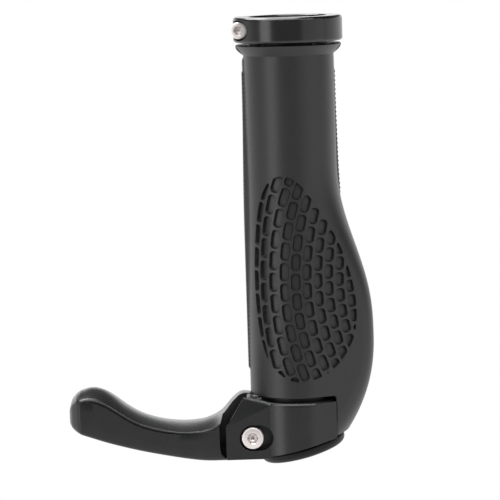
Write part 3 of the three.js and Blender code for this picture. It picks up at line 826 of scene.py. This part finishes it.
# %% Outside of the rubber
KNURL_FADE = (0.25, 0.8)
EDGE_ROUNDING = 0.35
SNAP = 0.19
NEAR_RUNS = (-17, 22)
NEAR_SIDE = math.radians(85)
NEAR_MARGIN = 2
NUDGE = 0.01

angle, level = np.meshgrid(COLUMN_ANGLES, ROW_LEVELS)
radius = grip_radius(angle, level)
step_x = np.diff(radius * np.sin(angle), axis=1)
step_y = np.diff(-radius * np.cos(angle), axis=1)
run = np.concatenate((np.zeros((len(ROW_LEVELS), 1)), np.cumsum(np.hypot(step_x, step_y), 1)), 1)
palm_column = int(np.argmin(np.abs(COLUMN_ANGLES)))
palm = slice(palm_column, palm_column + 1)
run -= run[:, palm] - radius[:, palm] * angle[:, palm]
run_rate = np.gradient(run, axis=1) / np.gradient(angle, axis=1)

near = (run > NEAR_RUNS[0]) & (run < NEAR_RUNS[1]) & (np.abs(angle) < NEAR_SIDE)
near &= level > PANEL_FOOT - NEAR_MARGIN
near &= level < PANEL_FOOT + PANEL_LENGTH + NEAR_MARGIN
near_run, near_level = run[near], level[near]
for target in (0.0, -PIT_WALL):
    distance = pit_distance(near_run, near_level)
    slope_run = (pit_distance(near_run + NUDGE, near_level) - distance) / NUDGE
    slope_level = (pit_distance(near_run, near_level + NUDGE) - distance) / NUDGE
    pull = np.where(np.abs(distance - target) < SNAP, target - distance, 0)
    near_run = near_run + pull * slope_run
    near_level = near_level + pull * slope_level
angle[near] += (near_run - run[near]) / run_rate[near]
level[near] = near_level
radius = grip_radius(angle, level)
pit = np.zeros(radius.shape)
pit[near] = PIT_DEPTH * smooth(0, PIT_WALL, -pit_distance(near_run, near_level))
outwards = grip_radius(angle + NUDGE / 2, level) - grip_radius(angle - NUDGE / 2, level)
lean = np.arctan2(outwards / NUDGE, radius)

row_index, column_index = np.indices(angle.shape)
up_slope = np.abs((row_index + column_index) % 4 - 2) / 2
down_slope = np.abs((row_index - column_index) % 4 - 2) / 2
knurled = smooth(*KNURL_FADE, pad_share(angle, level))
knurled = knurled * (1 - smooth(KNURL_TOP - 1, KNURL_TOP, level))
radius += KNURL_HEIGHT * np.minimum(up_slope, down_slope) * knurled

beside = np.maximum(radius * np.sin(angle) - NOTCH_SIDE, 0)
above = np.maximum(level - NOTCH_TOP, 0)
for from_edge in (np.hypot(beside, above), FLANGE_TOP - level):
    edge_gap = np.clip(EDGE_ROUNDING - from_edge, 0, EDGE_ROUNDING)
    radius -= EDGE_ROUNDING - np.sqrt(EDGE_ROUNDING ** 2 - edge_gap ** 2)
x = radius * np.sin(angle) - pit * np.sin(angle - lean)
y = -radius * np.cos(angle) + pit * np.cos(angle - lean)
places = np.stack((x, y, level), -1)
spots = places.reshape(-1, 3)
print("rubber sheet spans", np.round(spots.min(0), 1), "to", np.round(spots.max(0), 1))

# %% [markdown]
# The sheet is a plain grid whose vertices are carried to those places. Its two side edges meet at
# the back and are merged, the ends are closed, and every four-sided face is split along its short
# diagonal, which keeps the pyramids and the pits' rims straight. Then the bore, the room for the
# clamp and the notch are cut out of the closed solid.

# %% Rubber grip
CLAMP_WALL = 1.8
NOTCH_CORNER = 1.0


def bent_grid(name, places):
    """Closed solid from a grid whose first and last columns meet."""
    rows, columns = places.shape[:2]
    shape = bmesh.new()
    bmesh.ops.create_grid(shape, x_segments=columns - 1, y_segments=rows - 1, size=1)
    for vert in shape.verts:
        column = round((vert.co.x + 1) / 2 * (columns - 1))
        row = round((vert.co.y + 1) / 2 * (rows - 1))
        vert.co = places[row, column]
    ends = [v for v in shape.verts if v.is_boundary]
    bmesh.ops.remove_doubles(shape, verts=ends, dist=1e-4)
    bmesh.ops.triangulate(shape, faces=shape.faces, quad_method="SHORT_EDGE")
    rims = [e for e in shape.edges if e.is_boundary]
    bmesh.ops.holes_fill(shape, edges=rims)
    return working(shape, name)


rubber = bent_grid("rubber", places)
combine(rubber, cylinder("bore", BORE_RADIUS, -FAR, FAR, 120))
combine(rubber, cylinder("clamp_room", BORE_RADIUS + CLAMP_WALL + SEAT, -FAR, NOTCH_TOP, 120))
corner = arc((NOTCH_SIDE - NOTCH_CORNER, NOTCH_TOP - NOTCH_CORNER), NOTCH_CORNER, 0, 90, 6)
notch = [(NOTCH_SIDE, -FAR)] + corner + [(-FAR, NOTCH_TOP), (-FAR, -FAR)]
combine(rubber, plate("notch", notch, -FAR, FAR))
combine(rubber, half_space("below_seam", (0, 0, SEAM_LEVEL + SEAT), -SEAM_NORMAL))
finish_piece(rubber, "rubber_grip", RUBBER, sharp=30)

# %% [markdown]
# The horn is lofted in the same way as the rubber, from stations along it. Each gives its share of
# the horn's reach, then the crown and the crease as shares of the top, the underside as a share of
# the bottom, and the depth. A smooth curve runs through the stations, and each section is a closed
# ring of points: the flat face stands back behind a small rounded lip at the crease, and the crown
# is an arc from that lip.

# %% Form of the horn
HORN_TOP = 15.3
HORN_BOTTOM = -7.3
HORN_DEPTH = 9.5
HORN_LEDGE = 0.45
LEDGE_BEGINS = (0.34, 0.6)
LEDGE_ENDS = (0.86, 0.985)
HORN_FOOT_RADIUS = 1.6
GROOVE_DEPTH = 0.3
GROOVE_WIDTH = 0.6
GROOVE_STEP = 0.12
LIP_RADIUS = 1.2
LIP_ROUNDING = 0.04
HORN_STATIONS = [
    (1, 0.63, 0.57, -0.63, 0.36), (0.989, 0.8, 0.69, -0.51, 0.62), (0.97, 0.91, 0.77, -0.38, 0.84),
    (0.957, 0.955, 0.8, -0.32, 0.955), (0.945, 0.98, 0.82, -0.26, 1), (0.903, 1.03, 0.84, -0.1, 1),
    (0.856, 0.99, 0.78, 0.07, 1), (0.809, 0.86, 0.65, 0.22, 1), (0.741, 0.6, 0.43, 0.41, 1.01),
    (0.674, 0.41, 0.275, 0.575, 1.03), (0.593, 0.275, 0.17, 0.74, 1.07),
    (0.512, 0.21, 0.12, 0.88, 1.13), (0.445, 0.23, 0.12, 0.97, 1.17),
    (0.395, 0.29, 0.155, 1, 1.22), (0.337, 0.385, 0.33, 1, 1.24), (0.283, 0.69, 0.6, 1, 1.24),
    (0.24, 0.83, 0.7, 1, 1.22), (0.162, 0.78, 0.66, 1, 1.01),
]


def open_curve(points, steps):
    """Smooth open curve through the points, with the same number of steps in each stretch."""
    before = np.concatenate((2 * points[:1] - points[1:2], points[:-2]))
    after = np.concatenate((points[2:], 2 * points[-1:] - points[-2:-1]))
    curve = stretches(before, points[:-1], points[1:], after, steps)
    return np.concatenate((curve, points[-1:]))


def horn_half(top, crease, bottom, depth, ledge):
    """Half a section from the middle of the underside to the top of the crown, as (depth, level)."""
    foot = min(HORN_FOOT_RADIUS, (crease - bottom) / 2, depth / 2)
    face = depth - ledge
    groove = min(ledge, GROOVE_DEPTH)
    half = [(0, bottom), (face * 0.4, bottom)]
    half += arc((face - foot, bottom + foot), foot, -90, 0, 6)
    climb = crease - GROOVE_WIDTH - bottom - foot
    half += [(face, bottom + foot + climb * share) for share in (0.35, 0.7, 1)]
    half += [(face - groove, crease - GROOVE_STEP), (depth - LIP_ROUNDING, crease - LIP_ROUNDING)]
    lip = min(LIP_RADIUS, (top - crease) / 2.2)
    half += [
        (depth - lip * (1 - math.cos(a)), crease + LIP_ROUNDING + lip * math.sin(a))
        for a in (0, 0.3, 0.6, 0.9)
    ]
    wide, start = half[-1]
    high = top - start
    first = max(0.0, math.pi / 2 - 2 * math.atan(high / wide))
    for a in np.linspace(first, math.pi / 2, 14)[1:]:
        rise = (math.sin(a) - math.sin(first)) / (1 - math.sin(first))
        half.append((wide * math.cos(a) / math.cos(first), start + high * rise))
    half[-1] = (0, top)
    return half


stations = open_curve(np.array(HORN_STATIONS, float), 7)
rings = []
for along, top, crease, bottom, deep in stations:
    ledge = HORN_LEDGE * float(smooth(*LEDGE_BEGINS, along) * (1 - smooth(*LEDGE_ENDS, along)))
    half = horn_half(
        HORN_TOP * top, HORN_TOP * crease, HORN_BOTTOM * bottom, HORN_DEPTH * deep, ledge,
    )
    front = [(-HORN_REACH * along, -y, z) for y, z in half]
    rear = [(-HORN_REACH * along, y, z) for y, z in reversed(half)]
    rings.append(front + rear[1:])
horn = bent_grid("horn", np.array(rings))
print("horn from", round(-HORN_REACH, 1), "mm with", len(stations), "sections")

# %% [markdown]
# In front of the horn's root stands a flat ear that the screw pulls against it, and a narrow slit
# parts the two. The horn is first cut back to the slit's far edge. The ear is an outline pushed to
# a depth, with one corner folded back and its upper edge shaved to a bright rim.

# %% Ear and slit
CLAMP_RADIUS = 15.6
CLAMP_TOP = 11.35
POCKET_DEPTH = 3.5
EAR_FRONT = CLAMP_SEAT_Y - POCKET_DEPTH
EAR_LEFT = -23.7
EAR_HEIGHT = 3.6
EAR_FOOT = HORN_BOTTOM + 0.4
EAR_TOP = (-17.6, CLAMP_TOP + 2.2)
EAR_TOP_Y = -11.6
EAR_MEETS_CLAMP = -math.sqrt(CLAMP_RADIUS ** 2 - EAR_FRONT ** 2)
EAR_FOLD = (-16, 8)
EAR_FOLD_RISE = 0.4
EAR_RIM = 0.9
EAR_RIM_FRONT = 0.13
EAR_RIM_REAR = 0.4
SLIT_WIDTH = 2.1
SLIT_FOOT = 0.06
SLIT_BACK = -1

slit_edge = [
    (EAR_LEFT - SLIT_FOOT, -FAR), (EAR_LEFT - SLIT_FOOT, HORN_BOTTOM + 0.5),
    (EAR_LEFT - 0.8 * SLIT_WIDTH, HORN_BOTTOM + 2), (EAR_LEFT - SLIT_WIDTH, HORN_BOTTOM + 4.5),
    (EAR_LEFT - SLIT_WIDTH, EAR_HEIGHT + SLIT_WIDTH / 3),
    (EAR_TOP[0] - SLIT_WIDTH, EAR_TOP[1] + SLIT_WIDTH / 2), (EAR_TOP[0], HORN_TOP), (EAR_TOP[0], FAR),
]
combine(horn, plate("in_front", slit_edge + [(0, FAR), (0, -FAR)], -FAR, SLIT_BACK))

ear = plate("ear", [
    (EAR_LEFT, EAR_FOOT), (0, EAR_FOOT), (0, CLAMP_TOP), (EAR_MEETS_CLAMP, CLAMP_TOP),
    EAR_TOP, (EAR_LEFT, EAR_HEIGHT),
], EAR_FRONT, SLIT_BACK - SLIT_WIDTH)
shave(
    ear, (EAR_LEFT, EAR_FRONT, EAR_HEIGHT + EAR_FOLD_RISE), (EAR_FOLD[0], EAR_FRONT, EAR_FOLD[1]),
    (EAR_TOP[0], EAR_TOP_Y, EAR_TOP[1]),
)
shave(
    ear, (EAR_TOP[0], EAR_TOP_Y - EAR_RIM_FRONT, EAR_TOP[1] - EAR_RIM),
    (EAR_MEETS_CLAMP, EAR_FRONT, CLAMP_TOP - EAR_RIM),
    (EAR_TOP[0], EAR_TOP_Y + EAR_RIM_REAR, EAR_TOP[1]),
)
print("ear stands", round(-EAR_FRONT, 1), "mm in front of the bar's axis")

# %% [markdown]
# The clamp itself is a turned body with a rounded rim. Beside the wing it has a flat flank, so that
# only a thin line parts it from the rubber there.

# %% Clamp
CLAMP_RIM = [(0, 1.5), (0, 1.0), (0.04, 0.8), (0.3, 0.26), (0.44, 0.09), (0.68, 0)]
SIDE_GAP = 0.08
FLANK_END_Y = 8
FLANK_START = (4, 12)
FLANK_DROP = 0.3

rim = [(CLAMP_RADIUS - inwards, CLAMP_TOP - below) for inwards, below in CLAMP_RIM]
foot = [(0, 2 * HORN_BOTTOM), (CLAMP_RADIUS, 2 * HORN_BOTTOM)]
clamp = turned("clamp", foot + rim + [(0, CLAMP_TOP)], 180)
flank_turn = WING_DIRECTION - FLANK_ANGLE
side = NOTCH_SIDE - SIDE_GAP
flank = plate("flank", [
    (CLAMP_RADIUS * math.sin(flank_turn), CLAMP_RADIUS * math.cos(flank_turn)),
    (side, (CLAMP_RADIUS - side * math.sin(flank_turn)) / math.cos(flank_turn)),
    (side, FLANK_END_Y), FLANK_START,
], 2 * HORN_BOTTOM, CLAMP_TOP - FLANK_DROP)
combine(clamp, place(flank, Matrix.Rotation(math.radians(90), 4, "X")), "UNION")
side_room = block("side_room", (side, -FAR, -FAR), (FAR, FAR, FAR))
combine(side_room, cylinder("wall", BORE_RADIUS + CLAMP_WALL, -FAR, FAR, 120))
combine(clamp, side_room)
print("clamp's top at", CLAMP_TOP, "mm")

# %% [markdown]
# Horn, ear and clamp are now joined to one casting. What has to be open is cut from the whole: the
# bore, the slit, the hollow behind the ear's thin lip, the room for the rubber, the screw's hole
# with its long pocket, and the underside along the slanted seam.

# %% Bar end
EAR_LIP = 1.1
EAR_LIP_DROP = 0.7
POCKET_RADIUS = 4.2
POCKET_RUN = 2.4
CLAMP_HOLE_RADIUS = 2.2

bar_end = combine(combine(horn, ear, "UNION"), clamp, "UNION")
combine(bar_end, cylinder("bore", BORE_RADIUS, -FAR, FAR, 120))
slit = slit_edge + [(-BORE_RADIUS / 2, FAR), (-BORE_RADIUS / 2, -FAR)]
combine(bar_end, plate("slit", slit, SLIT_BACK - SLIT_WIDTH, SLIT_BACK))
behind_lip = [
    (EAR_LEFT - SLIT_WIDTH / 2, EAR_HEIGHT - EAR_LIP_DROP),
    (EAR_LEFT + EAR_LIP, EAR_HEIGHT - EAR_LIP_DROP),
    (EAR_TOP[0] + EAR_LIP, EAR_TOP[1] - EAR_LIP_DROP), (EAR_MEETS_CLAMP, CLAMP_TOP + OVERLAP),
    (EAR_MEETS_CLAMP, FAR), (EAR_LEFT - SLIT_WIDTH / 2, FAR),
]
combine(bar_end, plate("behind_lip", behind_lip, EAR_FRONT + EAR_LIP, SLIT_BACK))
combine(bar_end, cylinder("rubber_room", HEEL_RADIUS + 1.3 * SEAT, CLAMP_TOP + SEAT / 3, FAR, 120))
hole = cylinder("hole", CLAMP_HOLE_RADIUS, -(CLAMP_SCREW_HIGH.y + SEAT), -CLAMP_SEAT_Y + 1, 40)
combine(bar_end, place(hole, along_y(CLAMP_SCREW_X, 0)))
pocket = arc((CLAMP_SCREW_X + POCKET_RUN, 0), POCKET_RADIUS, -90, 90, 24)
pocket += arc((CLAMP_SCREW_X, 0), POCKET_RADIUS, 90, 270, 24)
combine(bar_end, plate("pocket", pocket, -FAR, CLAMP_SEAT_Y))
below = half_space("below_seam", (0, 0, SEAM_LEVEL), -SEAM_NORMAL)
clear_of_ear = -(SEAM_LEVEL - HORN_BOTTOM) / math.tan(SEAM_TILT)
combine(below, block("keep_ear", (-FAR, -FAR, HORN_BOTTOM), (clear_of_ear, FAR, FAR)))
combine(bar_end, below)
finish_piece(bar_end, "bar_end", COATED)

# %% [markdown]
# The end cap closes the bar. Its slightly domed disc lies on the slanted seam, and a skirt stands
# from it into the sleeve, where the bar's end stops on it.

# %% End cap
CAP_RADIUS = 13.9
CAP_ASIDE = 0.9
CAP_RIM = 3.25
CAP_EDGE = 2.2
CAP_DOME = 0.8
CAP_SEAT_EDGE = 0.6
SKIRT_WALL = 1.8

edge = arc((CAP_RADIUS - CAP_EDGE, CAP_EDGE - CAP_RIM), CAP_EDGE, 0, -90, 8)
dome = [
    (CAP_RADIUS * share, -CAP_RIM - CAP_DOME * (1 - share ** 2)) for share in (0.75, 0.6, 0.4, 0.2)
]
seat = [(0, 0), (CAP_RADIUS - CAP_SEAT_EDGE, 0), (CAP_RADIUS, -CAP_SEAT_EDGE)]
cap = turned("cap", seat + edge + dome + [(0, -CAP_RIM - CAP_DOME)], 144)
drop = SEAM_LEVEL - SEAT / math.cos(SEAM_TILT)
aside = Matrix.Translation((CAP_ASIDE, 0, 0))
place(cap, Matrix.Translation((0, 0, drop)) @ Matrix.Rotation(-SEAM_TILT, 4, "Y") @ aside)
skirt_radius = SLEEVE_RADIUS - SLEEVE_WALL - SEAT
skirt = cylinder("skirt", skirt_radius, -FAR, 0, 120)
combine(skirt, cylinder("hollow", skirt_radius - SKIRT_WALL, -2 * FAR, FAR, 96))
combine(skirt, half_space("below_cap", (0, 0, SEAM_LEVEL - CAP_RIM / 2), -SEAM_NORMAL))
combine(cap, skirt, "UNION")
finish_piece(cap, "end_cap", PLASTIC)
